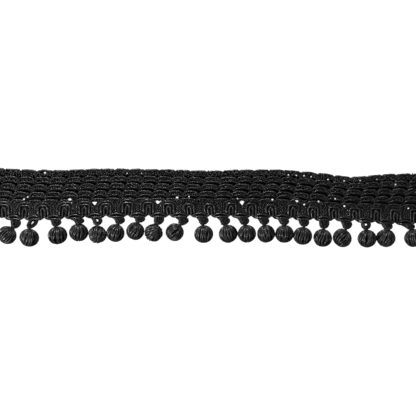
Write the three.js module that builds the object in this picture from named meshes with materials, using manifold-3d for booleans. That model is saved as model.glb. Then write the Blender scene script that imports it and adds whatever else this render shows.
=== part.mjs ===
// Pompom fringe trim: a cut length of black gimp braid with yarn-wound balls on short loops, laid flat.
// Millimetres. X runs along the trim, Y from the balls to the scalloped top edge, Z up from the surface.
import * as THREE from "three";
import { mergeVertices } from "three/addons/utils/BufferGeometryUtils.js";
import Module from "manifold-3d";

const wasm = await Module();
wasm.setup();

// Driving dimensions.
const TRIM_LENGTH = 240;
const RUNNING_LINE_Y = -4.76; // the line that the arches stand on at mid-length
const BRAID_WIDTH = 26; // from the arches' feet to the top edge, where it isn't pulled narrower
const PIECE_GAP = 0.35;
const END_MARGIN = 0.5; // no ridge starts nearer to a cut end than this

// How the braid lies: the height of its foot line and top edge above the running line, every 20 mm.
const STATION_STEP = 20;
const STATIONS = [
  { foot: -1.0, top: 26.7 },
  { foot: -1.7, top: 25.6 },
  { foot: -1.2, top: 25.4 },
  { foot: -0.4, top: 26.1 },
  { foot: -0.1, top: 26.0 },
  { foot: -0.1, top: 25.6 },
  { foot: -0.1, top: 25.0 },
  { foot: -0.4, top: 25.6 },
  { foot: -1.0, top: 25.6 },
  { foot: -1.9, top: 24.0 },
  { foot: -2.4, top: 21.7 },
  { foot: -3.9, top: 23.2 },
  { foot: -4.6, top: 23.4 },
];

// The rows of laid cord, counted from the top edge: depth of each ridge or groove line and its height.
const ROW_LINES = [
  { row: 0, depth: 0, height: 1.1 },
  { row: 0, depth: 1.2, height: 2.2 },
  { row: 1, depth: 2.9, height: 1.3 },
  { row: 1, depth: 3.9, height: 2.4 },
  { row: 1, depth: 5.9, height: 2.3 },
  { row: 2, depth: 7.0, height: 1.3 },
  { row: 2, depth: 8.1, height: 2.4 },
  { row: 2, depth: 10.0, height: 2.3 },
  { row: 3, depth: 11.2, height: 1.3 },
  { row: 3, depth: 12.3, height: 2.4 },
  { row: 3, depth: 14.2, height: 2.3 },
  { row: 4, depth: 15.3, height: 1.3 },
  { row: 4, depth: 16.4, height: 2.2 },
  { row: 4, depth: 17.5, height: 1.3 },
];
const SCALLOP_PITCH = 8.68;
const SCALLOP_START = -113.1; // the first notch of the top edge
const NOTCH_HALF_WIDTH = 1.3;
const NOTCH_DROP = 0.75; // how far a cord dips towards the feet at a notch
const NOTCH_SINK = 0.55; // how far it is pulled down into the braid there
const NOTCH_SLANT = -1.4; // the notches step back along the trim from one row to the next

// The arches: nested upright loops of cord, with thin net between them. Each line across them has its
// depth below the top edge and its points: offset from the arch's middle, and height from the surface.
const ARCH_PITCH = 11.45;
const ARCH_START = -113.6;
const ARCH_COUNT = 21;
const NET_HEIGHT = 0.9;
const CREST = 2.4;
const GROOVE = 1.2;
const OUTERMOST_CROWN = {
  depth: 18.2,
  points: [
    { offset: -3.4, height: GROOVE },
    { offset: -2.0, height: 2.1 },
    { offset: 2.0, height: 2.1 },
    { offset: 3.4, height: GROOVE },
  ],
};
const OUTER_CROWN = {
  depth: 19.3,
  points: [
    { offset: -3.6, height: GROOVE },
    { offset: -2.1, height: CREST },
    { offset: 2.1, height: CREST },
    { offset: 3.6, height: GROOVE },
  ],
};
const INNER_CROWN = {
  depth: 20.4,
  points: [
    { offset: -3.8, height: NET_HEIGHT },
    { offset: -2.9, height: CREST },
    { offset: -1.9, height: GROOVE },
    { offset: -0.7, height: CREST },
    { offset: 0.7, height: CREST },
    { offset: 1.9, height: GROOVE },
    { offset: 2.9, height: CREST },
    { offset: 3.8, height: NET_HEIGHT },
  ],
};
const LEGS = {
  depth: 21.6,
  points: [
    { offset: -3.9, height: NET_HEIGHT },
    { offset: -2.9, height: CREST },
    { offset: -1.9, height: GROOVE },
    { offset: -1.0, height: CREST },
    { offset: 0, height: GROOVE },
    { offset: 1.0, height: CREST },
    { offset: 1.9, height: GROOVE },
    { offset: 2.9, height: CREST },
    { offset: 3.9, height: NET_HEIGHT },
  ],
};

// The edge cord: a shallow arc from each arch's foot to the next, from which the loops hang.
const EDGE_CORD_RADIUS = 0.9;
const EDGE_CORD_SIDES = 6;
const EDGE_CORD_RISE = 1.45;
const ARC_FULLNESS = 0.8; // below 1 the arcs are fuller than a sine's
const EDGE_CORD_STOPS = [0, 0.16, 0.37, 0.63, 0.84]; // places of its bends, as shares of an arch

// The balls, in order: middle in plan from the running line, girth, lean of the yarn's pole from +Y
// towards +X, tilt of the pole above level, and where along the trim the loop's lobe hangs.
const BALLS = [
  { x: -111.2, y: -10.5, girth: 9.9, lean: 43, tilt: 8, loop: -106.9 },
  { x: -99.0, y: -12.0, girth: 10.3, lean: 3, tilt: 12, loop: -97.0 },
  { x: -83.4, y: -10.7, girth: 10.4, lean: -10, tilt: 15, loop: -84.5 },
  { x: -71.6, y: -9.1, girth: 10.0, lean: 0, tilt: 26, loop: -72.2 },
  { x: -61.3, y: -10.2, girth: 9.7, lean: -2, tilt: 15, loop: -61.6 },
  { x: -51.3, y: -9.4, girth: 9.7, lean: 19, tilt: 12, loop: -49.3 },
  { x: -40.4, y: -8.3, girth: 9.6, lean: 20, tilt: 18, loop: -37.8 },
  { x: -30.2, y: -9.2, girth: 9.7, lean: 25, tilt: 20, loop: -27.1 },
  { x: -18.5, y: -8.9, girth: 9.6, lean: 39, tilt: 15, loop: -13.8 },
  { x: -2.4, y: -10.0, girth: 9.9, lean: -5, tilt: 10, loop: -2.8 },
  { x: 11.1, y: -9.9, girth: 9.7, lean: -22, tilt: 8, loop: 9.0 },
  { x: 21.5, y: -9.8, girth: 9.7, lean: -16, tilt: 15, loop: 19.7 },
  { x: 32.0, y: -9.8, girth: 9.7, lean: -11, tilt: 15, loop: 30.9 },
  { x: 42.2, y: -9.9, girth: 9.6, lean: -2, tilt: 20, loop: 42.0 },
  { x: 52.3, y: -11.0, girth: 9.9, lean: 8, tilt: 8, loop: 53.3 },
  { x: 63.4, y: -12.1, girth: 9.9, lean: 5, tilt: 14, loop: 64.7 },
  { x: 74.2, y: -12.1, girth: 10.2, lean: 22, tilt: 8, loop: 77.1 },
  { x: 88.0, y: -12.5, girth: 9.8, lean: -9, tilt: 14, loop: 87.8 },
  { x: 98.4, y: -12.2, girth: 10.1, lean: 9, tilt: 25, loop: 99.4 },
  { x: 113.8, y: -12.2, girth: 9.9, lean: -21, tilt: 12, loop: 111.5 },
];
const BALL_LENGTH = 9.6; // from pole to pole
const BALL_RIBS = 16;
const BALL_BANDS = 6;
const RIB_DEPTH = 0.06; // share of the radius
const RIB_TWIST = THREE.MathUtils.degToRad(22); // from pole to pole
const POLE_DIMPLE = 0.94;
const FLAT_SPOT_DEPTH = 0.25;

// The loops that carry the balls. Half of a loop, from the edge cord to its tip: offset from its middle,
// share of the way down, and share of the way from hanging under its root to hanging at its lobe.
const LOOP_STRAND = 2.1;
const LOOP_SIDES = 4;
const LOOP_STEPS = 10;
const LOOP_BASE_Z = 1.1;
const LOOP_HALF = [
  { offset: 1.9, down: 0, swing: 0 },
  { offset: 1.95, down: 0.45, swing: 1 },
  { offset: 1.1, down: 0.85, swing: 0.5 },
];
const NECK_RADIUS = 0.75;
const NECK_LENGTH = 0.9;

const MERGE_DISTANCE = 1e-4;

const BLACK_GIMP = { color: 0x1b1a1b, roughness: 0.55, metalness: 0 };
const BLACK_CHENILLE = { color: 0x161416, roughness: 0.85, metalness: 0 };
const BLACK_WOUND_YARN = { color: 0x222223, roughness: 0.45, metalness: 0 };

// Height of the foot line or top edge at a place along the trim, smooth through the stations.
function edgeAt(x, edge) {
  const place = THREE.MathUtils.clamp((x + TRIM_LENGTH / 2) / STATION_STEP, 0, STATIONS.length - 1);
  const k = Math.min(Math.floor(place), STATIONS.length - 2);
  const at = (n) => STATIONS[THREE.MathUtils.clamp(n, 0, STATIONS.length - 1)][edge];
  const t = place - k;
  const slopeIn = (at(k + 1) - at(k - 1)) / 2;
  const slopeOut = (at(k + 2) - at(k)) / 2;
  const rise = at(k + 1) - at(k);
  const bend = (3 * rise - 2 * slopeIn - slopeOut) * t ** 2 + (slopeIn + slopeOut - 2 * rise) * t ** 3;
  return at(k) + slopeIn * t + bend;
}

// Place across the trim of a depth below the top edge, the braid's lines closing up where it is narrow.
function placeAtDepth(x, depth) {
  const top = edgeAt(x, "top");
  const foot = edgeAt(x, "foot");
  return RUNNING_LINE_Y + top - (depth / BRAID_WIDTH) * (top - foot);
}

// Middle of the edge cord: low at each arch's foot and high halfway to the next.
function edgeCordY(x) {
  const across = ((x - ARCH_START) / ARCH_PITCH) * Math.PI;
  const rise = EDGE_CORD_RISE * Math.abs(Math.sin(across)) ** ARC_FULLNESS;
  return RUNNING_LINE_Y + edgeAt(x, "foot") + EDGE_CORD_RADIUS + rise;
}

// One ridge or groove along a row, with a shoulder each side of every notch.
function rowLine({ row, depth, height }) {
  const end = TRIM_LENGTH / 2;
  const point = (x, drop, sink) => new THREE.Vector3(x, placeAtDepth(x, depth) - drop, height - sink);
  const line = [point(-end, 0, 0)];
  const first = SCALLOP_START + row * NOTCH_SLANT;
  for (let x = first; x < end; x += SCALLOP_PITCH) {
    const stops = [
      { along: x - NOTCH_HALF_WIDTH, drop: 0, sink: 0 },
      { along: x, drop: NOTCH_DROP, sink: NOTCH_SINK },
      { along: x + NOTCH_HALF_WIDTH, drop: 0, sink: 0 },
    ];
    for (const { along, drop, sink } of stops)
      if (Math.abs(along) < end - END_MARGIN) line.push(point(along, drop, sink));
  }
  line.push(point(end, 0, 0));
  return line;
}

// One line across all the arches, from the points of a single arch and the line's place across the trim.
function archLine(points, placeAcross) {
  const end = TRIM_LENGTH / 2;
  const line = [new THREE.Vector3(-end, placeAcross(-end), NET_HEIGHT)];
  for (let k = 0; k < ARCH_COUNT; k++) {
    const middle = ARCH_START + k * ARCH_PITCH;
    for (const { offset, height } of [...points, { offset: ARCH_PITCH / 2, height: NET_HEIGHT }]) {
      const x = middle + offset;
      if (Math.abs(x) < end - END_MARGIN) line.push(new THREE.Vector3(x, placeAcross(x), height));
    }
  }
  line.push(new THREE.Vector3(end, placeAcross(end), NET_HEIGHT));
  return line;
}

// Triangles between two lines of vertex numbers, both running towards larger values of key.
function zip(upper, lower, key, triangles) {
  let i = 0;
  let j = 0;
  while (i < upper.length - 1 || j < lower.length - 1) {
    const upperIsNext =
      j === lower.length - 1 || (i < upper.length - 1 && key(upper[i + 1]) <= key(lower[j + 1]));
    if (upperIsNext) triangles.push([upper[i], lower[j], upper[++i]]);
    else triangles.push([upper[i], lower[j], lower[++j]]);
  }
}

// A closed strip of cloth from its lines, top edge first, with a flat underside on the surface.
function clothSolid(lines) {
  const points = [];
  const triangles = [];
  const add = (p) => points.push(p) - 1;
  const numbered = lines.map((line) => line.map(add));
  const grounded = (line) => line.map((p) => add(new THREE.Vector3(p.x, p.y, 0)));
  const topBase = grounded(lines[0]);
  const footBase = grounded(lines.at(-1));
  const along = (n) => points[n].x;
  const down = (n) => -points[n].y;
  for (let k = 0; k < numbered.length - 1; k++) zip(numbered[k], numbered[k + 1], along, triangles);
  zip(topBase, numbered[0], along, triangles);
  zip(numbered.at(-1), footBase, along, triangles);
  zip(footBase, topBase, along, triangles);
  zip(numbered.map((line) => line[0]), [topBase[0], footBase[0]], down, triangles);
  zip([topBase.at(-1), footBase.at(-1)], numbered.map((line) => line.at(-1)), down, triangles);
  const geometry = new THREE.BufferGeometry().setFromPoints(points);
  geometry.setIndex(triangles.flat());
  return geometry;
}

function braidGeometry() {
  const lines = ROW_LINES.map(rowLine);
  for (const { depth, points } of [OUTERMOST_CROWN, OUTER_CROWN, INNER_CROWN, LEGS])
    lines.push(archLine(points, (x) => placeAtDepth(x, depth)));
  lines.push(archLine(LEGS.points, (x) => edgeCordY(x) + EDGE_CORD_RADIUS + PIECE_GAP));
  return clothSolid(lines);
}

// A closed solid from any three.js geometry, for joining.
function solidOf(geometry) {
  const bare = geometry.clone();
  bare.deleteAttribute("normal");
  bare.deleteAttribute("uv");
  const merged = mergeVertices(bare, MERGE_DISTANCE);
  return new wasm.Manifold(
    new wasm.Mesh({
      numProp: 3,
      vertProperties: merged.attributes.position.array,
      triVerts: new Uint32Array(merged.index.array),
    }),
  );
}

function geometryOf(solid) {
  const { numProp, vertProperties, triVerts } = solid.getMesh();
  const geometry = new THREE.BufferGeometry();
  geometry.setAttribute("position", new THREE.BufferAttribute(new Float32Array(vertProperties), numProp));
  geometry.setIndex(new THREE.BufferAttribute(new Uint32Array(triVerts), 1));
  return geometry;
}

// A strand of yarn along a path: a regular section with one flat side down.
function strand(path, radius, sides, steps) {
  const section = new THREE.Shape();
  for (let k = 0; k < sides; k++) {
    const angle = (2 * Math.PI * (k + 0.5)) / sides;
    const place = [radius * Math.cos(angle), radius * Math.sin(angle)];
    if (k === 0) section.moveTo(...place);
    else section.lineTo(...place);
  }
  return new THREE.ExtrudeGeometry(section, { steps, extrudePath: path });
}

function ballPlace({ x, y, girth, lean, tilt }) {
  const lift = THREE.MathUtils.degToRad(tilt);
  const turn = THREE.MathUtils.degToRad(lean);
  const pole = new THREE.Vector3(
    Math.cos(lift) * Math.sin(turn),
    Math.cos(lift) * Math.cos(turn),
    Math.sin(lift),
  );
  const halfHeight = Math.hypot((girth / 2) * Math.cos(lift), (BALL_LENGTH / 2) * Math.sin(lift));
  const middle = new THREE.Vector3(x, RUNNING_LINE_Y + y, halfHeight - FLAT_SPOT_DEPTH);
  return { pole, middle };
}

// A ball of yarn wound over and over its two poles: ribs run from pole to pole with a slight twist.
function ballGeometry(ball) {
  const { pole, middle } = ballPlace(ball);
  const geometry = new THREE.SphereGeometry(1, 2 * BALL_RIBS, BALL_BANDS);
  geometry.deleteAttribute("normal");
  geometry.deleteAttribute("uv");
  const sphere = mergeVertices(geometry, MERGE_DISTANCE);
  const position = sphere.attributes.position;
  const turn = new THREE.Quaternion().setFromUnitVectors(new THREE.Vector3(0, 1, 0), pole);
  const p = new THREE.Vector3();
  for (let k = 0; k < position.count; k++) {
    p.fromBufferAttribute(position, k);
    const aroundPole = Math.hypot(p.x, p.z);
    const step = Math.round((Math.atan2(p.z, p.x) * BALL_RIBS) / Math.PI);
    const groove = step % 2 === 0 ? 1 : 1 - RIB_DEPTH;
    if (aroundPole < MERGE_DISTANCE) {
      p.y *= POLE_DIMPLE;
    } else {
      p.x *= groove;
      p.z *= groove;
    }
    p.applyAxisAngle(new THREE.Vector3(0, 1, 0), (RIB_TWIST * p.y) / 2);
    p.multiply(new THREE.Vector3(ball.girth / 2, BALL_LENGTH / 2, ball.girth / 2));
    p.applyQuaternion(turn).add(middle);
    position.setXYZ(k, p.x, p.y, Math.max(p.z, 0));
  }
  return sphere;
}

// One loop: a strand that leaves the edge cord, hangs round its lobe and comes back, the neck at its tip.
function loopSolid(ball, index) {
  const { pole, middle } = ballPlace(ball);
  const reach = BALL_LENGTH / 2 + PIECE_GAP;
  const neckEnd = middle.clone().addScaledVector(pole, reach);
  const tip = middle.clone().addScaledVector(pole, reach + NECK_LENGTH);
  const root = ARCH_START + (index + 0.5) * ARCH_PITCH;
  const rootY = edgeCordY(root);
  const place = (side, { offset, down, swing }) => {
    const under = THREE.MathUtils.lerp(root, tip.x, down ** 2);
    return new THREE.Vector3(
      THREE.MathUtils.lerp(under, ball.loop, swing) + side * offset,
      THREE.MathUtils.lerp(rootY, tip.y, down),
      THREE.MathUtils.lerp(LOOP_BASE_Z, tip.z, down),
    );
  };
  const path = new THREE.CatmullRomCurve3([
    ...LOOP_HALF.map((stop) => place(-1, stop)),
    tip,
    ...LOOP_HALF.map((stop) => place(1, stop)).reverse(),
  ]);
  const bail = solidOf(strand(path, LOOP_STRAND / 2, LOOP_SIDES, LOOP_STEPS));
  const inside = tip.clone().addScaledVector(pole, LOOP_STRAND / 4);
  const neck = solidOf(strand(new THREE.LineCurve3(neckEnd, inside), NECK_RADIUS, LOOP_SIDES, 1));
  return bail.add(neck);
}

// The edge cord and its loops, worked as one.
function loopEdgeGeometry() {
  const end = TRIM_LENGTH / 2;
  const stations = [];
  for (let k = -1; k <= ARCH_COUNT; k++)
    for (const share of EDGE_CORD_STOPS) {
      const x = ARCH_START + (k + share) * ARCH_PITCH;
      if (Math.abs(x) < end - END_MARGIN) stations.push(x);
    }
  const along = [-end, ...stations, end];
  const rest = EDGE_CORD_RADIUS * Math.cos(Math.PI / EDGE_CORD_SIDES);
  const route = new THREE.CatmullRomCurve3(along.map((x) => new THREE.Vector3(x, edgeCordY(x), rest)));
  const cord = strand(route, EDGE_CORD_RADIUS, EDGE_CORD_SIDES, along.length - 1);
  return geometryOf(BALLS.reduce((whole, ball, k) => whole.add(loopSolid(ball, k)), solidOf(cord)));
}

function piece(name, geometry, finish) {
  const mesh = new THREE.Mesh(geometry, new THREE.MeshStandardMaterial(finish));
  mesh.name = name;
  return mesh;
}

const trim = new THREE.Group();
trim.add(piece("heading_braid", braidGeometry(), BLACK_GIMP));
trim.add(piece("loop_edge", loopEdgeGeometry(), BLACK_CHENILLE));
BALLS.forEach((ball, k) =>
  trim.add(piece(`ball_${String(k + 1).padStart(2, "0")}`, ballGeometry(ball), BLACK_WOUND_YARN)),
);

export default trim;
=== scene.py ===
import bpy
import numpy as np
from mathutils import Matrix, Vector
from mathutils.geometry import delaunay_2d_cdt


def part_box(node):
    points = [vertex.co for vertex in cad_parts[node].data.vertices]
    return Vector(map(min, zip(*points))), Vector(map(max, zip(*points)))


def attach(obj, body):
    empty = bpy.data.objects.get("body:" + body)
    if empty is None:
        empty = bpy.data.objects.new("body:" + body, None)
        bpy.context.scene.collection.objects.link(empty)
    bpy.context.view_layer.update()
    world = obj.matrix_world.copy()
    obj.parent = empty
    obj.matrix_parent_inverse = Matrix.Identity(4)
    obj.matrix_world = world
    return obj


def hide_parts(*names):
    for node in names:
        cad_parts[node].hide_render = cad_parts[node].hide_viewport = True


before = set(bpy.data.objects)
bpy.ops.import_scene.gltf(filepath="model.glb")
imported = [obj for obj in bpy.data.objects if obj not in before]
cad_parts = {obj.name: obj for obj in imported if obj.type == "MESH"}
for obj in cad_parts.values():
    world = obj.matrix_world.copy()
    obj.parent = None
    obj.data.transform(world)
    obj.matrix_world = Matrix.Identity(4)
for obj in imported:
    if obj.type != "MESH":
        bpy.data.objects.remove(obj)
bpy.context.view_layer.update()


# The camera looks straight down on the strip, which crosses the whole picture. The trim's own sizes are in
# millimetres, along it (x), across it (y) and up (z), until a mesh is written in metres, and places across
# it are measured from one straight running line. The surface and the lamps are in metres.
MM = 0.001
RUNNING_LINE = -4.76
VIEW_WIDTH = 231.3
VIEW_CENTRE = (0.0, RUNNING_LINE + 4.45)
VIEW_PLANE = 0.002
LENS = 100.0
camera_data = bpy.data.cameras.new("overhead_camera")
camera_data.lens = LENS
camera_data.sensor_width = 36.0
camera_data.clip_start = 0.01
camera_data.clip_end = 20.0
camera = bpy.data.objects.new("overhead_camera", camera_data)
camera.location = (
    VIEW_CENTRE[0] * MM,
    VIEW_CENTRE[1] * MM,
    VIEW_WIDTH * LENS / camera_data.sensor_width * MM + VIEW_PLANE,
)
bpy.context.scene.collection.objects.link(camera)
bpy.context.scene.camera = camera


# The net that the cords are worked on: fine black thread, knitted so close that only the pinholes and a few
# larger gaps show the surface below. It is one flat layer under all the cords, cut off with them at each end.
# It was smoothed out by hand, so its foot line and top edge wander, and it is narrowest where it was pulled.
low_end, high_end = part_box("heading_braid")
HALF_LENGTH = (high_end[0] - low_end[0]) / MM / 2
BRAID_WIDTH = 26.0
STATION_STEP = 20.0
FOOT_LINE = [-1.0, -1.7, -1.2, -0.4, -0.1, -0.1, -0.1, -0.4, -1.0, -1.9, -2.4, -3.9, -4.6]
TOP_EDGE = [26.7, 25.6, 25.4, 26.1, 26.0, 25.6, 25.0, 25.6, 25.6, 24.0, 21.7, 23.2, 23.4]
NET_BASE = 0.05
NET_TOP = 0.55
NET_INSET = 0.5
SCALLOP_PITCH = 8.68
SCALLOP_START = -113.1
ARCH_PITCH = 11.45
ARCH_START = -113.6
ARCH_COUNT = 21
SWELL_FLATNESS = 3.2
OUTLINE_STEP = 0.6
NET_STEP = 1.3
NOTCH_DIP = 0.8
FOOT_LIFT = 0.1
LEG_LIFT = 0.35
LEG_REACH = 0.9
# How far the arches have slid along the trim from an even pitch: (place, slide).
ARCH_SLIDE = [(-113.6, 0.3), (-90.7, -0.8), (-68, -1.0), (-45, -0.1), (-33, 0.35), (1, 0.5), (35, 0.25)]
ARCH_SLIDE += [(58, 0.65), (92.5, 1.0), (104, 0.45), (115.4, 0.0)]
arch_middles = ARCH_START + ARCH_PITCH * np.arange(ARCH_COUNT)
arch_middles += np.interp(arch_middles, *zip(*ARCH_SLIDE))
# How far each stretch of notches has slid along the trim from an even pitch: (place, slide).
NOTCH_SLIDE = [(-120, 0.0), (-70, 1.2), (-30, -0.4), (-8, -0.9), (18, 0.4), (45, -1.0)]
NOTCH_SLIDE += [(62, 0.6), (88, 2.0), (112, 0.4)]
ROW_SLIDE = 1.4
# Where the net is open: (along the trim, up from the running line, width, height, points down).
NET_HOLES = [
    (-102.6, 9.3, 1.2, 0.9, False),
    (-100.5, 10.6, 1.0, 0.8, False),
    (-77.0, 9.2, 2.0, 1.2, False),
    (-76.2, 7.2, 1.0, 0.9, False),
    (-63.2, 6.9, 2.9, 1.9, True),
    (-28.1, 7.6, 4.4, 1.9, True),
    (-17.2, 10.3, 1.5, 1.0, False),
    (-10.6, 10.8, 0.8, 0.7, False),
    (16.4, 9.7, 0.8, 0.7, False),
    (18.9, 7.2, 3.0, 2.5, True),
    (35.9, 9.1, 1.1, 1.0, False),
    (49.4, 8.2, 2.1, 1.2, False),
    (53.6, 6.4, 1.1, 0.9, False),
    (61.6, 8.1, 1.0, 0.9, False),
    (70.9, 9.6, 0.9, 0.8, False),
    (76.0, 5.5, 1.2, 1.0, False),
    (104.5, 17.6, 1.0, 0.9, False),
    (111.6, 4.3, 1.15, 0.8, False),
    (-90.9, 24.1, 1.3, 0.9, False),
    (-45.1, 23.8, 0.6, 0.6, False),
    (-37.0, 23.8, 0.42, 0.6, False),
    (44.8, 22.9, 0.8, 0.7, False),
    (49.2, 22.6, 0.8, 0.7, False),
    (53.5, 22.4, 0.85, 0.7, False),
    (57.5, 21.9, 0.7, 0.65, False),
    (66.9, 20.4, 0.9, 0.7, False),
    (75.9, 19.6, 0.8, 0.65, False),
    (84.8, 19.8, 0.7, 0.65, False),
    (94.1, 20.5, 0.5, 0.5, False),
]


def edge_at(x, heights):
    """Place across the trim of its foot line or top edge, smooth between the stations."""
    heights = np.asarray(heights)
    last = len(heights) - 1
    place = np.clip((np.asarray(x, float) + HALF_LENGTH) / STATION_STEP, 0, last)
    k = np.minimum(place.astype(int), last - 1)
    t = place - k
    before, here, after, beyond = (heights[np.clip(k + n, 0, last)] for n in (-1, 0, 1, 2))
    slope_in, slope_out, rise = (after - before) / 2, (beyond - here) / 2, after - here
    bend = (3 * rise - 2 * slope_in - slope_out) * t**2 + (slope_in + slope_out - 2 * rise) * t**3
    return RUNNING_LINE + here + slope_in * t + bend


def across(x, depth):
    """Place across the trim at a depth below its top edge, as if it were as wide everywhere."""
    top, foot = edge_at(x, TOP_EDGE), edge_at(x, FOOT_LINE)
    return top - depth / BRAID_WIDTH * (top - foot)


def notch_phase(x, row):
    """Place between one notch of a row and the next, from 0 to 1."""
    x = np.asarray(x, float)
    slide = np.interp(x, *zip(*NOTCH_SLIDE))
    return ((x - slide - SCALLOP_START + row * ROW_SLIDE) / SCALLOP_PITCH) % 1.0


def swag(x, row):
    """Drop of a row's cords below the middle of each swell: 1 at a notch, 0 halfway between two."""
    return np.abs(2 * notch_phase(x, row) - 1) ** SWELL_FLATNESS


def hole_outline(x, rise, width, height, points_down):
    if points_down:
        ring = [(-0.5, 0.45), (0.0, 0.5), (0.5, 0.45), (0.28, 0.0), (0.05, -0.5), (-0.25, -0.1)]
    else:
        turn = np.linspace(0, 2 * np.pi, 8, endpoint=False)
        ring = [(0.5 * np.cos(t), 0.5 * np.sin(t)) for t in turn]
    return [(x + a * width, RUNNING_LINE + rise + b * height) for a, b in ring]


def in_holes(places):
    """True for each place that lies in one of the net's holes."""
    inside = np.zeros(len(places), bool)
    for hole in NET_HOLES:
        ring = np.array(hole_outline(*hole))
        crossings = np.zeros(len(places), int)
        for (ax, ay), (bx, by) in zip(ring, np.roll(ring, -1, axis=0)):
            spans = (ay > places[:, 1]) != (by > places[:, 1])
            cut = ax + (bx - ax) * (places[:, 1] - ay) / ((by - ay) or 1)
            crossings += spans & (places[:, 0] < cut)
        inside |= crossings % 2 == 1
    return inside


def write_mesh(name, places, corners, counts, maps=None):
    mesh = bpy.data.meshes.new(name)
    mesh.vertices.add(len(places))
    mesh.vertices.foreach_set("co", (places * MM).astype(np.float32).ravel())
    mesh.loops.add(len(corners))
    mesh.loops.foreach_set("vertex_index", corners.astype(np.int32))
    mesh.polygons.add(len(counts))
    starts = np.concatenate([[0], np.cumsum(counts)[:-1]])
    mesh.polygons.foreach_set("loop_start", starts.astype(np.int32))
    mesh.update(calc_edges=True)
    mesh.polygons.foreach_set("use_smooth", np.asarray(counts) == 4)
    if maps is not None:
        layer = mesh.uv_layers.new(name="Thread")
        layer.data.foreach_set("uv", maps.astype(np.float32).ravel())
    mesh.validate()
    piece = bpy.data.objects.new(name, mesh)
    bpy.context.scene.collection.objects.link(piece)
    return piece


def net_sheet():
    """The flat layer: its outline, its holes and an even mesh between them."""
    x = np.arange(-HALF_LENGTH + 0.2, HALF_LENGTH - 0.1, OUTLINE_STEP)
    top = across(x, 0) - NET_INSET - NOTCH_DIP * swag(x, 0)
    from_arch = np.abs(x[:, None] - arch_middles).min(1)
    foot = edge_at(x, FOOT_LINE) + FOOT_LIFT + LEG_LIFT * np.exp(-((from_arch / LEG_REACH) ** 2))
    outline = list(zip(x, top))[::-1] + list(zip(x, foot))
    points = [Vector(p) for p in outline]
    edges = [(k, (k + 1) % len(outline)) for k in range(len(outline))]
    for hole in NET_HOLES:
        ring = hole_outline(*hole)
        first = len(points)
        points += [Vector(p) for p in ring]
        edges += [(first + k, first + (k + 1) % len(ring)) for k in range(len(ring))]
    inner = [
        Vector((float(a), float(across(a, d))))
        for d in np.arange(1.8, 22.5, NET_STEP)
        for a in np.arange(-HALF_LENGTH + 1.2, HALF_LENGTH - 1, NET_STEP)
    ]
    places, _, faces, _, _, _ = delaunay_2d_cdt(points + inner, edges, [], 2, 1e-4)
    places = np.array([(p.x, p.y, NET_TOP) for p in places])
    faces = np.array(faces)
    faces = faces[~in_holes(places[faces].mean(1))]
    net = write_mesh("ground_net", places, faces.reshape(-1), np.full(len(faces), 3))
    thick = net.modifiers.new("thickness", "SOLIDIFY")
    thick.thickness = (NET_TOP - NET_BASE) * MM
    thick.offset = -1
    return net


def nodes_of(material):
    material.use_nodes = True
    tree = material.node_tree
    tree.nodes.clear()
    return tree


def add(tree, kind, **values):
    node = tree.nodes.new(kind)
    for key, value in values.items():
        if key in node.inputs:
            node.inputs[key].default_value = value
        else:
            setattr(node, key, value)
    return node


def knit_material():
    material = bpy.data.materials.new("black knitted net")
    tree = nodes_of(material)
    out = tree.nodes.new("ShaderNodeOutputMaterial")
    shader = add(tree, "ShaderNodeBsdfPrincipled")
    shader.inputs["Sheen Weight"].default_value = 0.1
    shader.inputs["Specular IOR Level"].default_value = 0.15
    place = tree.nodes.new("ShaderNodeTexCoord")
    shape = add(tree, "ShaderNodeMapping")
    shape.inputs["Scale"].default_value = (1100.0, 1700.0, 1.0)
    shape.inputs["Rotation"].default_value = (0, 0, 0.6)
    tree.links.new(place.outputs["Object"], shape.inputs["Vector"])
    cells = add(tree, "ShaderNodeTexVoronoi", Scale=1.0, Randomness=0.35)
    tree.links.new(shape.outputs[0], cells.inputs["Vector"])
    # Each stitch is painted darker towards its edges, where the bump sinks: painted shade in the hollows
    # between stitches.
    ramp = tree.nodes.new("ShaderNodeMix")
    ramp.data_type = "RGBA"
    ramp.inputs["A"].default_value = (0.006, 0.006, 0.006, 1)
    ramp.inputs["B"].default_value = (0.001, 0.001, 0.001, 1)
    tree.links.new(cells.outputs["Distance"], ramp.inputs["Factor"])
    tree.links.new(ramp.outputs["Result"], shader.inputs["Base Color"])
    rough = add(tree, "ShaderNodeMapRange")
    rough.inputs["To Min"].default_value = 0.6
    rough.inputs["To Max"].default_value = 0.9
    tree.links.new(cells.outputs["Distance"], rough.inputs["Value"])
    tree.links.new(rough.outputs["Result"], shader.inputs["Roughness"])
    relief = add(tree, "ShaderNodeBump")
    relief.inputs["Strength"].default_value = 0.8
    relief.inputs["Distance"].default_value = 0.06 * MM
    relief.invert = True
    tree.links.new(cells.outputs["Distance"], relief.inputs["Height"])
    tree.links.new(relief.outputs["Normal"], shader.inputs["Normal"])
    tree.links.new(shader.outputs[0], out.inputs["Surface"])
    return material


net = net_sheet()
net.data.materials.append(knit_material())
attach(net, "root")
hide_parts("heading_braid")


# The laid cords of the upper rows: satin gimp, a core wrapped with fine rayon. Each runs the whole length,
# flat for a short way and then pulled down at a notch, where the net's thread ties it.
UP = (0, 0, 1)
TIE_REACH = 1.0
BOW_LENGTH = 0.7
CORD_STEP = 0.36
CORD_SIDES = 12
CORD_FLATNESS = 0.94
SWAG_DROP = (1.0, 1.2, 1.6, 1.6, 1.3)
# The cords: (row, depth below the top edge, radius, height).
CORD_LINES = [
    (0, 0.72, 0.72, 1.30),
    (1, 4.45, 0.55, 1.66),
    (1, 6.6, 0.46, 1.42),
    (2, 8.42, 0.55, 1.66),
    (2, 10.42, 0.46, 1.42),
    (3, 12.40, 0.55, 1.66),
    (3, 14.42, 0.46, 1.42),
    (4, 16.50, 0.52, 1.54),
]


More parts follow.
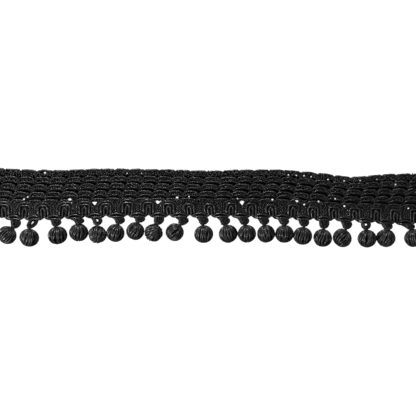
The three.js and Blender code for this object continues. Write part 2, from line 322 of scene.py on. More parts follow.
def thread_mesh(name, tubes, plies=0, ply_depth=0.0, ply_turn=3.0):
    """One mesh from (points, ups, radii, sides, flatness) rows, one for each thread. Its map holds the
    thread's number with the turn round it, and the length along it. With plies, the section of each thread
    is lobed and the lobes turn round it."""
    places, corners, counts, maps, base = [], [], [], [], 0
    for number, (points, ups, radii, sides, flatness) in enumerate(tubes):
        points = np.asarray(points, float)
        n = len(points)
        radii = np.broadcast_to(np.asarray(radii, float), (n,))
        ups = np.broadcast_to(np.asarray(ups, float), (n, 3))
        run = np.gradient(points, axis=0)
        run /= np.linalg.norm(run, axis=1)[:, None]
        side = np.cross(run, ups)
        side /= np.linalg.norm(side, axis=1)[:, None]
        rise = np.cross(side, run)
        turn = 2 * np.pi * (np.arange(sides) + 0.5) / sides
        ring = (
            side[:, None, :] * np.cos(turn)[None, :, None]
            + rise[:, None, :] * (np.sin(turn) * flatness)[None, :, None]
        )
        length = np.concatenate([[0], np.cumsum(np.linalg.norm(np.diff(points, axis=0), axis=1))])
        lobes = 1 + ply_depth * np.cos(plies * (turn[None, :] - 2 * np.pi * length[:, None] / ply_turn))
        places.append((points[:, None, :] + ring * (radii[:, None] * lobes)[:, :, None]).reshape(-1, 3))
        i, k = np.meshgrid(np.arange(n - 1), np.arange(sides), indexing="ij")
        after = (k + 1) % sides
        quads = np.stack([i * sides + k, i * sides + after, (i + 1) * sides + after, (i + 1) * sides + k], -1)
        corners.append(quads.reshape(-1) + base)
        counts.append(np.full((n - 1) * sides, 4))
        u = np.stack([k, k + 1, k + 1, k], -1) / sides + number
        v = np.stack([length[i], length[i], length[i + 1], length[i + 1]], -1)
        maps.append(np.stack([u, v], -1).reshape(-1, 2))
        for cap in (np.arange(sides)[::-1], (n - 1) * sides + np.arange(sides)):
            corners.append(cap + base)
            counts.append(np.array([sides]))
            maps.append(np.zeros((sides, 2)))
        base += n * sides
    return write_mesh(
        name,
        np.concatenate(places),
        np.concatenate(corners),
        np.concatenate(counts),
        np.concatenate(maps),
    )


def pinch(x, row):
    """1 where the net's thread ties a row's cords down, and 0 a little away from there."""
    away = (notch_phase(x, row) + 0.5) % 1.0 - 0.5
    return np.exp(-((away * SCALLOP_PITCH / TIE_REACH) ** 2))


def parted(points, radius):
    """A thread's points once it has bowed round the holes that it would cross."""
    points = np.array(points, float)
    spread = np.ptp(points[:, :2], axis=0)
    lead, aside = (0, 1) if spread[0] > spread[1] else (1, 0)
    for x, rise, width, height, _ in NET_HOLES:
        middle, half = (x, RUNNING_LINE + rise), (width / 2, height / 2)
        ahead = points[:, lead] - middle[lead]
        off = points[:, aside] - middle[aside]
        closest = np.argmin(np.abs(ahead))
        room = half[aside] + radius
        if abs(ahead[closest]) > 1 or abs(off[closest]) > room:
            continue
        side = 1 if off[closest] >= 0 else -1
        near = np.exp(-((ahead / (half[lead] + BOW_LENGTH)) ** 4))
        points[:, aside] += near * side * np.maximum(room - side * off, 0)
    return points


def wander(x, seed, size, span):
    """A smooth random drift along the trim."""
    draw = np.random.RandomState(seed).uniform(-1, 1, int(2 * HALF_LENGTH / span) + 4)
    place = (np.asarray(x) + HALF_LENGTH) / span
    k = np.clip(place.astype(int), 0, len(draw) - 2)
    t = place - k
    t = t * t * (3 - 2 * t)
    return size * (draw[k] * (1 - t) + draw[k + 1] * t)


def laid(x, row, depth):
    """Place across the trim of what is laid at a depth in a row, on its swells and notches."""
    uneven = 0.65 + wander(x, 3, 0.35, 6.0) if row == 0 else 1.0
    return across(x, depth) + 0.35 - SWAG_DROP[row] * uneven * swag(x, row)


def math_node(tree, operation, a, b=None):
    node = tree.nodes.new("ShaderNodeMath")
    node.operation = operation
    for slot, value in enumerate([a] if b is None else [a, b]):
        if isinstance(value, (int, float)):
            node.inputs[slot].default_value = value
        else:
            tree.links.new(value, node.inputs[slot])
    return node.outputs[0]


def spun_thread_group():
    """Height and tone of a spun thread: its plies turn round it, and fine fibres lie along them. Its tone
    also holds painted light: painted shade in the grooves between plies, and a painted highlight on the side
    of each thread towards the lamps, fading to painted shade round its other sides.
    """
    group = bpy.data.node_groups.new("spun thread", "ShaderNodeTree")
    face = group.interface
    for name, value in (("Plies", 2.0), ("Turn Length", 2.0), ("Sharpness", 1.6), ("Patches", 1.0)):
        face.new_socket(name, in_out="INPUT", socket_type="NodeSocketFloat").default_value = value
    for name in ("Height", "Tone And Painted Light", "Lit Crest"):
        face.new_socket(name, in_out="OUTPUT", socket_type="NodeSocketFloat")
    given, result = group.nodes.new("NodeGroupInput"), group.nodes.new("NodeGroupOutput")
    place = add(group, "ShaderNodeUVMap", uv_map="Thread")
    split = group.nodes.new("ShaderNodeSeparateXYZ")
    group.links.new(place.outputs[0], split.inputs[0])
    round_it, along = split.outputs[0], split.outputs[1]
    turned = math_node(group, "DIVIDE", along, given.outputs["Turn Length"])
    phase = math_node(group, "MULTIPLY", math_node(group, "ADD", round_it, turned), given.outputs["Plies"])
    wave = math_node(group, "ABSOLUTE", math_node(group, "SINE", math_node(group, "MULTIPLY", phase, np.pi)))
    ridge = math_node(group, "POWER", wave, 0.6)
    lay = group.nodes.new("ShaderNodeCombineXYZ")
    group.links.new(math_node(group, "MULTIPLY", phase, 5.0), lay.inputs[0])
    group.links.new(math_node(group, "MULTIPLY", along, 0.35), lay.inputs[1])
    fibre = add(group, "ShaderNodeTexNoise", Scale=6.0, Detail=4.0, Roughness=0.65)
    group.links.new(lay.outputs[0], fibre.inputs["Vector"])
    height = math_node(group, "ADD", ridge, math_node(group, "MULTIPLY", fibre.outputs[0], 0.5))
    group.links.new(height, result.inputs["Height"])
    # Painted highlight and shade: each thread is painted lighter on its side towards the lamps, above and to
    # the left, and darker round its other sides, a painted shade in the valleys between threads. The same
    # mask also makes that side glossier.
    from_top = math_node(group, "SUBTRACT", round_it, 0.29)
    lamp_facing = math_node(group, "COSINE", math_node(group, "MULTIPLY", from_top, 2 * np.pi))
    lit_crest = math_node(group, "ADD", math_node(group, "MULTIPLY", lamp_facing, 0.62), 0.38)
    lit_crest = math_node(group, "MAXIMUM", lit_crest, 0.0)
    lit_crest = math_node(group, "POWER", lit_crest, given.outputs["Sharpness"])
    own = add(group, "ShaderNodeTexWhiteNoise", noise_dimensions="1D")
    group.links.new(math_node(group, "FLOOR", round_it), own.inputs["W"])
    where = group.nodes.new("ShaderNodeTexCoord")
    patches = add(group, "ShaderNodeTexNoise", Scale=700.0, Detail=3.0, Roughness=0.7)
    group.links.new(where.outputs["Object"], patches.inputs["Vector"])
    uneven = add(group, "ShaderNodeMapRange")
    for socket, value in (("From Min", 0.4), ("From Max", 0.6), ("To Min", -0.85), ("To Max", 0.85)):
        uneven.inputs[socket].default_value = value
    group.links.new(patches.outputs[0], uneven.inputs["Value"])
    patchy = math_node(group, "MULTIPLY", uneven.outputs[0], given.outputs["Patches"])
    patchy = math_node(group, "ADD", patchy, 1.0)
    lively = math_node(group, "SUBTRACT", own.outputs["Value"], 0.5)
    lively = math_node(group, "ADD", math_node(group, "MULTIPLY", lively, given.outputs["Patches"]), 1.0)
    group.links.new(
        math_node(group, "MULTIPLY", math_node(group, "MULTIPLY", lit_crest, patchy), lively),
        result.inputs["Lit Crest"],
    )
    # Tone: painted shade in the grooves between plies, the fibres, the painted highlight on the lamp side,
    # random patches and each thread's own random tone.
    tone_and_painted_light = math_node(group, "MULTIPLY", math_node(group, "ADD", ridge, 0.35), fibre.outputs[0])
    tone_and_painted_light = math_node(group, "MULTIPLY", tone_and_painted_light, lit_crest)
    tone_and_painted_light = math_node(group, "MULTIPLY", tone_and_painted_light, patchy)
    tone_and_painted_light = math_node(group, "MULTIPLY", tone_and_painted_light, lively)
    group.links.new(tone_and_painted_light, result.inputs["Tone And Painted Light"])
    return group


SPUN_THREAD = spun_thread_group()
# How much duller a thread is in its valleys, and how much glossier on its crests.
VALLEY_DULLER = 0.14
CREST_GLOSSIER = 0.04


def yarn_material(name, dark, light, roughness, gloss, sharpness, plies, turn, bump, patches=1.0):
    material = bpy.data.materials.new(name)
    tree = nodes_of(material)
    out = tree.nodes.new("ShaderNodeOutputMaterial")
    shader = add(tree, "ShaderNodeBsdfPrincipled")
    shader.inputs["Specular IOR Level"].default_value = gloss
    thread = tree.nodes.new("ShaderNodeGroup")
    thread.node_tree = SPUN_THREAD
    thread.inputs["Plies"].default_value = plies
    thread.inputs["Turn Length"].default_value = turn
    thread.inputs["Patches"].default_value = patches
    thread.inputs["Sharpness"].default_value = sharpness
    # The base colour runs from dark to light with the thread's tone, so it holds painted highlight and
    # painted shade as well as the yarn's own fibres and patches.
    ramp = tree.nodes.new("ShaderNodeMix")
    ramp.data_type = "RGBA"
    ramp.inputs["A"].default_value = (*dark, 1)
    ramp.inputs["B"].default_value = (*light, 1)
    tree.links.new(thread.outputs["Tone And Painted Light"], ramp.inputs["Factor"])
    tree.links.new(ramp.outputs["Result"], shader.inputs["Base Color"])
    rough = add(tree, "ShaderNodeMapRange")
    rough.inputs["To Min"].default_value = roughness + VALLEY_DULLER
    rough.inputs["To Max"].default_value = roughness - CREST_GLOSSIER
    tree.links.new(thread.outputs["Lit Crest"], rough.inputs["Value"])
    tree.links.new(rough.outputs["Result"], shader.inputs["Roughness"])
    relief = add(tree, "ShaderNodeBump")
    relief.inputs["Strength"].default_value = 0.8
    relief.inputs["Distance"].default_value = bump * MM
    tree.links.new(thread.outputs["Height"], relief.inputs["Height"])
    tree.links.new(relief.outputs["Normal"], shader.inputs["Normal"])
    tree.links.new(shader.outputs[0], out.inputs["Surface"])
    return material


def row_cord(row, depth, radius, height, seed):
    x = np.arange(-HALF_LENGTH, HALF_LENGTH + 0.01, CORD_STEP)
    tied = pinch(x, row)
    y = laid(x, row, depth) + wander(x, seed, 0.14, 2.6)
    z = height - 0.15 * tied + wander(x, seed + 40, 0.14, 2.3)
    swell_end = np.exp(-(((np.abs(notch_phase(x, row) - 0.5) - 0.36) / 0.06) ** 2))
    thick = radius * (1 - 0.1 * tied + 0.16 * swell_end) * (1 + wander(x, seed + 80, 0.16, 1.4))
    return parted(np.stack([x, y, z], 1), radius), UP, thick, CORD_SIDES, CORD_FLATNESS


# A high sharpness paints a narrow highlight line along each cord's side towards the lamps.
GIMP = yarn_material(
    "black gimp cord",
    dark=(0.001, 0.001, 0.001),
    light=(0.052, 0.052, 0.0525),
    roughness=0.26,
    gloss=0.31,
    sharpness=6.0,
    plies=1.0,
    turn=0.42,
    bump=0.01,
    patches=0.85,
)
for row in range(5):
    cords = [row_cord(r, d, w, h, 11 * n) for n, (r, d, w, h) in enumerate(CORD_LINES) if r == row]
    piece = thread_mesh(f"row_{row}_cords", cords, plies=2, ply_depth=0.17 if row else 0.05, ply_turn=2.7)
    piece.data.materials.append(GIMP)
    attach(piece, "root")


# The arches: the same gimp cord, laid in nested upright loops. The innermost is one cord for the whole trim,
# up and over each arch and then in a shallow arc to the next. A second is laid round every arch, and a third
# round the arches at the low end alone.
# Its copy of the gimp cord is painted lighter than the rows' cord: a painted highlight for the lamp light
# that the upright legs miss.
PAINTED_LIGHTER_GIMP = yarn_material(
    "black arch cord painted lighter",
    dark=(0.001, 0.001, 0.001),
    light=(0.066, 0.066, 0.0665),
    roughness=0.26,
    gloss=0.34,
    sharpness=4.5,
    plies=1.0,
    turn=0.24,
    bump=0.005,
    patches=0.35,
)
ARCH_STEP = 0.33
ARCH_SIDES = 10
CROWNED = 9
ARC_RISE = 2.25
ARC_SINK = 0.73
ARC_LEAST = 0.25
ARC_SHARES = (0.26, 0.38, 0.5, 0.62, 0.74)
# The cords over one arch: (along the trim from its middle, up from its foot, height).
INNER_ARCH = [
    (-1.7, 0.3, 1.5),
    (-0.85, 0.8, 1.5),
    (-0.9, 2.4, 1.5),
    (-1.0, 4.2, 1.5),
    (-0.72, 5.2, 1.45),
    (0.0, 5.6, 1.4),
    (0.72, 5.2, 1.45),
    (1.0, 4.2, 1.5),
    (0.9, 2.4, 1.5),
    (0.85, 0.8, 1.5),
    (1.7, 0.3, 1.5),
]
ARCH_CROWN = [
    (-4.5, 5.2, 0.8),
    (-4.0, 6.9, 1.3),
    (-2.4, 8.35, 1.5),
    (0.0, 8.65, 1.5),
    (2.4, 8.35, 1.5),
    (4.0, 6.9, 1.3),
    (4.5, 5.2, 0.8),
]
ARCH_DRAW = np.random.RandomState(5)
arch_leans = ARCH_DRAW.uniform(-0.12, 0.12, ARCH_COUNT)
arch_heights = ARCH_DRAW.uniform(0.94, 1.05, ARCH_COUNT)
shoulders = ARCH_DRAW.uniform(2.0, 2.75, ARCH_COUNT)


def bottom_arc(x):
    """The shallow arc from each arch's foot to the next."""
    share = np.abs(np.sin(np.pi * np.interp(x, arch_middles, np.arange(ARCH_COUNT))))
    return edge_at(x, FOOT_LINE) + np.maximum(ARC_RISE * share - ARC_SINK, ARC_LEAST)


def smooth_path(points, step):
    """A curve through points, at even steps."""
    p = np.asarray(points, float)
    p = np.vstack([2 * p[0] - p[1], p, 2 * p[-1] - p[-2]])
    t = np.linspace(0, 1, 12, endpoint=False)[:, None]
    pieces = []
    for a, b, c, d in zip(p[:-3], p[1:-2], p[2:-1], p[3:]):
        pieces.append(
            0.5 * (2 * b + (c - a) * t + (2 * a - 5 * b + 4 * c - d) * t**2 + (3 * b - a - 3 * c + d) * t**3)
        )
    dense = np.vstack(pieces + [p[-2]])
    length = np.concatenate([[0], np.cumsum(np.linalg.norm(np.diff(dense, axis=0), axis=1))])
    even = np.linspace(0, length[-1], max(int(length[-1] / step), 2))
    return np.stack([np.interp(even, length, dense[:, n]) for n in range(3)], 1)


def gimp_over(points, radius):
    """A gimp cord laid through points, as a row for thread_mesh."""
    return smooth_path(points, ARCH_STEP), UP, radius, ARCH_SIDES, CORD_FLATNESS


def arch_point(k, offset, height, z):
    """A point of one arch, with that arch's own lean and height."""
    x = arch_middles[k] + offset + arch_leans[k] * height
    x = float(np.clip(x, -HALF_LENGTH + 0.3, HALF_LENGTH - 0.3))
    foot = float(edge_at(arch_middles[k] + offset, FOOT_LINE))
    narrow = (float(edge_at(x, TOP_EDGE)) - foot) / BRAID_WIDTH
    return (x, foot + height * arch_heights[k] * narrow, z)


inner_points = []
for k in range(ARCH_COUNT):
    inner_points += [arch_point(k, *p) for p in INNER_ARCH]
    if k < ARCH_COUNT - 1:
        for share in ARC_SHARES:
            x = arch_middles[k] * (1 - share) + arch_middles[k + 1] * share
            inner_points.append((x, float(bottom_arc(x)) + 0.05, 2.05))
inner = gimp_over(inner_points, 0.56)
outer, crowns = [], []
for k in range(ARCH_COUNT):
    square = shoulders[k]
    legs = [
        (-2.6, 1.2, 1.0),
        (-2.68, 3.2, 1.65),
        (-2.68, 5.2, 1.75),
        (-square, 6.75, 1.8),
        (0.0, 7.15, 1.8),
        (square, 6.75, 1.8),
        (2.68, 5.2, 1.75),
        (2.68, 3.2, 1.65),
        (2.6, 1.2, 1.0),
    ]
    outer.append(gimp_over([arch_point(k, *p) for p in legs], 0.54))
    if k < CROWNED:
        crowns.append(gimp_over([arch_point(k, *p) for p in ARCH_CROWN], 0.56))
for name, tubes in (("inner_arch_cord", [inner]), ("outer_arch_cords", outer), ("arch_crown_cords", crowns)):
    piece = thread_mesh(name, tubes, plies=2, ply_depth=0.04, ply_turn=2.6)
    piece.data.materials.append(PAINTED_LIGHTER_GIMP)
    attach(piece, "root")


# The net's thread where it shows: it zigzags between the two cords of each row, and makes slanting and
# upright meshes between the arches. It is finer than the cords and duller.
NET_THREAD = yarn_material(
    "black net thread",
    dark=(0.001, 0.001, 0.001),
    light=(0.034, 0.033, 0.032),
    roughness=0.28,
    gloss=0.32,
    sharpness=3.0,
    plies=2.0,
    turn=0.8,
    bump=0.01,
)
ZIGZAG_PITCH = SCALLOP_PITCH / 3.3
ZIGZAG_STEP = 0.16
ZIGZAG_RADIUS = 0.34
# The zigzags: (row, depth below the top edge, sway, height).
ZIGZAG_LINES = [
    (0, 1.9, 0.55, 1.7),
    (0, 3.0, 0.5, 1.5),
    (1, 5.5, 0.45, 1.45),
    (2, 9.4, 0.45, 1.45),
    (3, 13.4, 0.45, 1.45),
    (4, 17.4, 0.5, 1.25),
]
MESH_PITCH = 1.05
MESH_SLANT = 0.75
MESH_HEIGHT = 1.25
MESH_WEAVE = 0.12
MESH_RADIUS = 0.22
UPRIGHT_RADIUS = 0.24


def zigzag_row(row, depth, sway, height, seed):
    """A thread that goes up and down between a row's two cords, in steps that are never quite alike."""
    x = np.arange(-HALF_LENGTH, HALF_LENGTH + 0.01, ZIGZAG_STEP)
    phase = 2 * np.pi * x / ZIGZAG_PITCH + wander(x, seed, 1.4, 4.0)
    reach = sway + wander(x, seed + 2, 0.25, 2.1)
    y = laid(x, row, depth) + reach * np.sin(phase) + wander(x, seed + 1, 0.15, 3.0)
    z = height + 0.2 * np.cos(2 * phase) + wander(x, seed + 5, 0.3, 1.9)
    thick = ZIGZAG_RADIUS * (1 + wander(x, seed + 6, 0.2, 1.1))
    return parted(np.stack([x, y, z], 1), 0.4), UP, thick, 8, 1.0


zigzags = [zigzag_row(*line, 300 + 17 * n) for n, line in enumerate(ZIGZAG_LINES)]
piece = thread_mesh("zigzag_stitches", zigzags)
piece.data.materials.append(NET_THREAD)
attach(piece, "root")

meshes = []
for slant in (-1, 1):
    for n, start in enumerate(np.arange(-HALF_LENGTH - 8, HALF_LENGTH + 8, MESH_PITCH)):
        depth = np.arange(15.8, 24.3, 0.3)
        x = start + slant * (depth - 20) * MESH_SLANT
        keep = (np.abs(x) < HALF_LENGTH - 0.3) & (across(x, depth) > bottom_arc(x) + 0.5)
        if keep.sum() < 8:
            continue
        x, depth = x[keep], depth[keep]
        y = across(x, depth)
        over = np.cos(np.pi * (depth / 0.7 + n)) * MESH_WEAVE * slant
        points = np.stack([x + wander(x, 700 + n, 0.12, 2.0), y, MESH_HEIGHT + over], 1)
        meshes.append((parted(points, 0.2), UP, MESH_RADIUS, 5, 1.0))
# Upright threads stand between the arches, and zigzag as they catch the slanting ones.
UPRIGHT_DRAW = np.random.RandomState(14)
for k in range(ARCH_COUNT - 1):
    middle = (arch_middles[k] + arch_middles[k + 1]) / 2
    for offset in (-1.5, -0.5, 0.5, 1.5):
        rise = np.arange(0.7, UPRIGHT_DRAW.uniform(4.2, 6.2), 0.2)
        x = middle + offset + UPRIGHT_DRAW.uniform(-0.25, 0.25)
        phase = 2 * np.pi * rise / UPRIGHT_DRAW.uniform(1.2, 1.7) + UPRIGHT_DRAW.uniform(0, 6)
        zigzag = 0.28 * np.sin(phase)
        points = np.stack([x + zigzag, bottom_arc(x) + rise, 1.5 + 0.5 * zigzag], 1)
        meshes.append((parted(points, UPRIGHT_RADIUS), UP, UPRIGHT_RADIUS, 6, 1.0))
piece = thread_mesh("net_meshes", meshes)
piece.data.materials.append(NET_THREAD)
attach(piece, "root")


# The ties: the net's own fine thread again. At every notch a few turns of it go down over each pair of cords,
# are caught in the net above and below them, and pull the pair in.
TIE_DRAW = np.random.RandomState(21)
TIED_DEPTHS = [0.9, 4.6, 8.4, 12.4, 16.5]
TIE_LENGTH = 1.7
TIE_HEIGHT = 2.05
ties = []
for row, tied in enumerate(TIED_DEPTHS):
    for n in range(int(2 * HALF_LENGTH / SCALLOP_PITCH) + 1):
        x0 = SCALLOP_START - row * ROW_SLIDE + n * SCALLOP_PITCH
        x0 += float(np.interp(x0, *zip(*NOTCH_SLIDE)))
        if abs(x0) > HALF_LENGTH - 2:
            continue
        t = np.linspace(0, 1, 9)
        for side in (-1, 1):
            depth = tied + TIE_DRAW.uniform(-0.2, 0.2) + TIE_LENGTH * (t - 0.45)
            x = x0 + side * (TIE_DRAW.uniform(0.8, 1.2) - TIE_DRAW.uniform(0.3, 0.8) * t)
            y = laid(x, row, depth)
            z = TIE_HEIGHT - np.abs(2 * t - 1) ** 3
            points = parted(np.stack([x, y, z], 1), 0.3)
            ties.append((points, UP, TIE_DRAW.uniform(0.24, 0.36), 8, 1.0))
piece = thread_mesh("notch_ties", ties)
piece.data.materials.append(NET_THREAD)
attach(piece, "root")


# The hanging loops: a soft dull yarn of three plies, one short ring under each shallow arc, held there by one
# thin edge cord that runs under the arcs. Each ring is drawn in to a thin neck, bound into its ball's top.
LOOP_YARN = yarn_material(
    "black loop yarn",
    dark=(0.002, 0.002, 0.002),
    light=(0.062, 0.053, 0.056),
    roughness=0.34,
    gloss=0.16,
    sharpness=4.2,
    plies=3.0,
    turn=0.9,
    bump=0.012,
)
LOOP_STEP = 0.28
LOOP_PLIES = 3
FILL_HEIGHT = 0.75
FILL_SINK = 1.1
NECK_LENGTH = 0.8
TIP_LENGTH = 0.5
NECK_SUNK = 0.5
# The loops that have a pinhole still open in them.
OPEN_LOOPS = (1, 4, 17)
# Right half of a ring: (offset from its middle, share of the way down, share of the way to the neck).
OPEN_HALF = [(1.45, 0.0, 0.0), (1.66, 0.25, 0.1), (1.66, 0.56, 0.5), (1.1, 0.88, 0.9), (0.0, 1.0, 1.0)]
CLOSED_HALF = [(1.65, 0.0, 0.0), (1.88, 0.25, 0.1), (1.88, 0.58, 0.5), (1.2, 0.9, 0.9), (0.0, 1.0, 1.0)]
RING_TOP = [(0.0, -0.05, 0.0)]
# The edge cord over one loop: (along the trim from the loop's root, up from the foot line, height).
EDGE_ROUTE = [(-5.3, 0.9, 0.7), (-4.3, 0.1, 1.1), (-3.1, -0.35, 1.8), (0.0, -0.25, 2.1)]
EDGE_ROUTE += [(-x, y, z) for x, y, z in EDGE_ROUTE[-2::-1]]
BALL_LENGTH = 9.6
BALL_SINK = 0.12
# The balls, in order: lean of the neck from +y towards +x, its tilt above level, where the loop hangs,
# and the lean and tilt of the axis that the yarn was wound round.
BALLS = [
    (43, 8, -106.9, 43, 8),
    (3, 12, -97.0, 12, 14),
    (-10, 15, -84.5, -8, 15),
    (0, 26, -72.2, 4, 30),
    (-2, 15, -61.6, 3, -36),
    (19, 12, -49.3, 19, 14),
    (20, 18, -37.8, 24, 20),
    (25, 20, -27.1, 38, 50),
    (39, 15, -13.8, 46, 10),
    (-5, 10, -2.8, -3, 10),
    (-22, 8, 9.0, -20, 10),
    (-16, 15, 19.7, -8, 15),
    (-11, 15, 30.9, -16, 18),
    (-2, 20, 42.0, -2, 20),
    (8, 8, 53.3, 2, 6),
    (5, 14, 64.7, 8, 16),
    (22, 8, 77.1, 38, 8),
    (-9, 14, 87.8, 4, 14),
    (9, 25, 99.4, 12, 28),
    (-21, 12, 111.5, -21, 12),
]


def axis_of(lean, tilt):
    """Direction with a lean from +y towards +x and a tilt above level."""
    turn, lift = np.radians(lean), np.radians(tilt)
    return np.array([np.cos(lift) * np.sin(turn), np.cos(lift) * np.cos(turn), np.sin(lift)])


def ball_place(number):
    """Middle of a ball, direction of its neck, and its girth."""
    lean, tilt = BALLS[number][:2]
    low, high = (np.array(corner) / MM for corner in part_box(f"ball_{number + 1:02d}"))
    middle = (low + high) / 2
    middle[2] = high[2] / 2 - BALL_SINK
    girth = 2 * (high[2] - middle[2])
    return middle, axis_of(lean, tilt), girth


def plied(path, radius, plies, lay, turn_length, start=0.0):
    """The plies that wind round a path."""
    length = np.concatenate([[0], np.cumsum(np.linalg.norm(np.diff(path, axis=0), axis=1))])
    run = np.gradient(path, axis=0)
    run /= np.linalg.norm(run, axis=1)[:, None]
    side = np.cross(run, (0.05, 0.1, 1.0))
    side /= np.linalg.norm(side, axis=1)[:, None]
    rise = np.cross(side, run)
    tubes = []
    for n in range(plies):
        turn = start + 2 * np.pi * (n / plies + length / turn_length)
        points = path + lay * (side * np.cos(turn)[:, None] + rise * np.sin(turn)[:, None])
        tubes.append((points, rise, radius, 6, 1.0))
    return tubes


loops, edge_points = [], []
LOOP_DRAW = np.random.RandomState(33)
for number, (_, _, hang, _, _) in enumerate(BALLS):
    middle, pole, _ = ball_place(number)
    neck_top = middle + pole * (BALL_LENGTH / 2 + NECK_LENGTH)
    tip = neck_top + pole * TIP_LENGTH
    root = float(arch_middles[number] + arch_middles[number + 1]) / 2
    foot = float(edge_at(root, FOOT_LINE))
    top_y = foot - 0.2
    drop = top_y - tip[1]
    shift = hang - root
    is_open = number in OPEN_LOOPS
    half = OPEN_HALF if is_open else CLOSED_HALF
    ply, lay = (0.52, 0.66) if is_open else (0.46, 0.6)
    height = ply + lay + 0.04
    other_half = [(-offset, down, reach) for offset, down, reach in half[-2::-1]]
    ring = []
    for offset, down, reach in RING_TOP + half + other_half + RING_TOP:
        swing = shift * np.sin(min(max(down, 0), 1) * np.pi) + (tip[0] - root) * max(down, 0) ** 2
        ring.append((root + swing + offset, top_y - down * drop, height + (tip[2] - height) * reach))
    loops += plied(smooth_path(ring, LOOP_STEP), ply, LOOP_PLIES, lay, 3.4, LOOP_DRAW.uniform(0, 6))
    # More of the yarn fills an open loop at its top and foot, and a closed one down both sides.
    fills = [[(-1.2, 0.12), (0.0, 0.16), (1.2, 0.12)], [(0.3, 0.72), (0.0, 0.86), (0.0, 1.0)]]
    if not is_open:
        fills = [[(side * 0.85 * (1 - down), down) for down in (0.0, 0.35, 0.65, 0.9)] for side in (-1, 1)]
    for strand in fills:
        fill = []
        for aside, down in strand:
            swing = shift * np.sin(down * np.pi) + (tip[0] - root) * down**2
            z = FILL_HEIGHT + (tip[2] - FILL_SINK) * down
            fill.append((root + swing + aside, top_y - down * drop, z))
        loops += plied(smooth_path(fill, LOOP_STEP), 0.32, LOOP_PLIES, 0.4, 2.6, LOOP_DRAW.uniform(0, 6))
    edge_points += [(root + reach, foot + rise, height) for reach, rise, height in EDGE_ROUTE]
    neck = [tip + (0, 0.3, 0), neck_top, middle + pole * (BALL_LENGTH / 2 - NECK_SUNK)]
    loops += plied(smooth_path(neck, 0.25), 0.44, LOOP_PLIES, 0.52, 2.2)
piece = thread_mesh("hanging_loops", loops)
piece.data.materials.append(LOOP_YARN)
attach(piece, "root")
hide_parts("loop_edge")
edge_points = [p for p in edge_points if abs(p[0]) < HALF_LENGTH - 0.3]
# The edge cord wears the arches' copy of the gimp, painted lighter.
piece = thread_mesh("edge_cord", [gimp_over(edge_points, 0.52)])
piece.data.materials.append(PAINTED_LIGHTER_GIMP)
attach(piece, "root")


# The balls: satin yarn wound over and over from pole to pole, so that its turns stand as ribs that lean a
# little and cross here and there. Each is drawn in at both poles and rests on a small flat spot.
BALL_YARN = yarn_material(
    "black wound yarn",
    dark=(0.01, 0.01, 0.01),
    light=(0.062, 0.062, 0.063),
    roughness=0.28,
    gloss=0.42,
    sharpness=3.0,
    plies=2.0,
    turn=0.7,
    bump=0.008,
)
TURNS = 20
CROSSINGS = 3
TURN_STEPS = 36
TURN_SIDES = 8
POLE_ANGLE = 0.12
POLE_INSET = 0.12
CORE_INSET = 0.95
CORE_SIDES = 20


def ball_turns(number):
    """The turns of one ball, the last few of them crossing the others, and the core inside."""
    middle, _, girth = ball_place(number)
    pole = axis_of(*BALLS[number][3:])
    draw = np.random.RandomState(100 + number)
    sideways = np.cross(pole, (0.3, 0.1, 1.0))
    sideways /= np.linalg.norm(sideways)
    upward = np.cross(sideways, pole)
    tubes = []
    lean_over = draw.uniform(0.15, 0.5)
    down = np.linspace(POLE_ANGLE, np.pi - POLE_ANGLE, TURN_STEPS)
    tall = BALL_LENGTH / 2 - POLE_INSET
    for n in range(TURNS + CROSSINGS):
        crossing = n >= TURNS
        start = 2 * np.pi * n / TURNS + draw.uniform(-0.07, 0.07)
        slant = lean_over + draw.uniform(-0.2, 0.2) + (draw.uniform(0.3, 0.6) if crossing else 0)
        drift = draw.uniform(0.03, 0.1) * np.sin(3 * down + draw.uniform(0, 6))
        round_it = start + slant * (down / np.pi - 0.5) + drift
        wide = girth / 2 - 0.18 + draw.uniform(-0.25, 0.12) + (0.15 if crossing else 0)
        outward = np.cos(round_it)[:, None] * sideways + np.sin(round_it)[:, None] * upward
        way = np.sin(down)[:, None] * outward + np.cos(down)[:, None] * pole
        points = middle + wide * np.sin(down)[:, None] * outward + tall * np.cos(down)[:, None] * pole
        thick = (0.2 + 0.34 * np.sin(down)) * draw.uniform(0.84, 1.12)
        tubes.append((points, way, thick, TURN_SIDES, 1.0))
    core_down = np.linspace(0.05, np.pi - 0.05, 14)
    core = middle + (tall - 0.1) * np.cos(core_down)[:, None] * pole
    core_thick = (girth / 2 - CORE_INSET) * np.sin(core_down)
    tubes.append((core, sideways, core_thick, CORE_SIDES, 1.0))
    return tubes


for number in range(len(BALLS)):
    turns = ball_turns(number)
    piece = thread_mesh(f"wound_ball_{number + 1:02d}", turns, plies=2, ply_depth=0.08, ply_turn=3.4)
    # The ball's under side is pressed flat where it rests on the surface.
    places = np.empty(len(piece.data.vertices) * 3, np.float32)
    piece.data.vertices.foreach_get("co", places)
    places[2::3] = np.maximum(places[2::3], 0.0)
    piece.data.vertices.foreach_set("co", places)
    piece.data.materials.append(BALL_YARN)
    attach(piece, "root")
    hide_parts(f"ball_{number + 1:02d}")


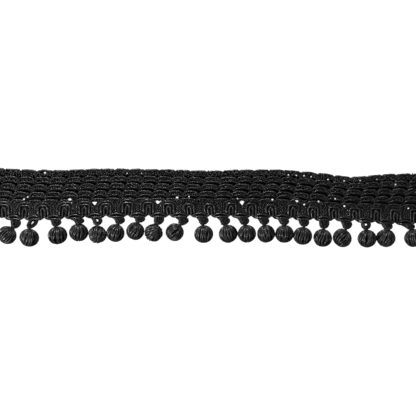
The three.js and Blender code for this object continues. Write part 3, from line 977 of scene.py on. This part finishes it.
# The surface is a plain white light table. Two soft lamps stand low, beyond the top edge and at the lower
# left, a weak one stands at the lower right, and the room is dim.
HALF_FLOOR = 3.0
FLOOR_HEIGHT = -0.0003
FLOOR_CORNERS = ((-1, -1), (1, -1), (1, 1), (-1, 1))
floor_mesh = bpy.data.meshes.new("floor")
floor_mesh.from_pydata(
    [(a * HALF_FLOOR, b * HALF_FLOOR, FLOOR_HEIGHT) for a, b in FLOOR_CORNERS],
    [],
    [(0, 1, 2, 3)],
)
floor = bpy.data.objects.new("floor", floor_mesh)
bpy.context.scene.collection.objects.link(floor)
floor_material = bpy.data.materials.new("white table")
floor_tree = nodes_of(floor_material)
floor_out = floor_tree.nodes.new("ShaderNodeOutputMaterial")
floor_shader = add(floor_tree, "ShaderNodeBsdfPrincipled")
floor_shader.inputs["Base Color"].default_value = (0.12, 0.12, 0.12, 1)
floor_shader.inputs["Roughness"].default_value = 0.9
floor_shader.inputs["Emission Color"].default_value = (1, 1, 1, 1)
floor_seen = floor_tree.nodes.new("ShaderNodeLightPath")
floor_glow = floor_tree.nodes.new("ShaderNodeMapRange")
floor_glow.inputs["To Min"].default_value = 0.01
floor_glow.inputs["To Max"].default_value = 1.0
floor_tree.links.new(floor_seen.outputs["Is Camera Ray"], floor_glow.inputs["Value"])
floor_tree.links.new(floor_glow.outputs["Result"], floor_shader.inputs["Emission Strength"])
floor_tree.links.new(floor_shader.outputs[0], floor_out.inputs["Surface"])
floor_mesh.materials.append(floor_material)

world = bpy.data.worlds.new("studio")
bpy.context.scene.world = world
world.use_nodes = True
world_tree = world.node_tree
around = world_tree.nodes["Background"]
around.inputs["Color"].default_value = (1, 1, 1, 1)
seen = world_tree.nodes.new("ShaderNodeLightPath")
glow = world_tree.nodes.new("ShaderNodeMapRange")
glow.inputs["To Min"].default_value = 0.01
glow.inputs["To Max"].default_value = 0.92
world_tree.links.new(seen.outputs["Is Camera Ray"], glow.inputs["Value"])
world_tree.links.new(glow.outputs["Result"], around.inputs["Strength"])
# The lamps: (name, place, size, power). Each points at the middle of the trim.
for name, place, size, power in (
    ("upper_lamp", (-0.12, 0.6, 0.34), 0.12, 4.6),
    ("side_lamp", (-0.6, -0.22, 0.36), 0.12, 5.6),
    ("right_lamp", (0.6, -0.3, 0.34), 0.12, 1.1),
):
    lamp_data = bpy.data.lights.new(name, "AREA")
    lamp_data.size = size
    lamp_data.energy = power
    lamp = bpy.data.objects.new(name, lamp_data)
    lamp.location = place
    lamp.rotation_euler = (Vector((0, 0, 0)) - Vector(place)).to_track_quat("-Z", "Y").to_euler()
    bpy.context.scene.collection.objects.link(lamp)
bpy.context.scene.view_settings.view_transform = "Standard"
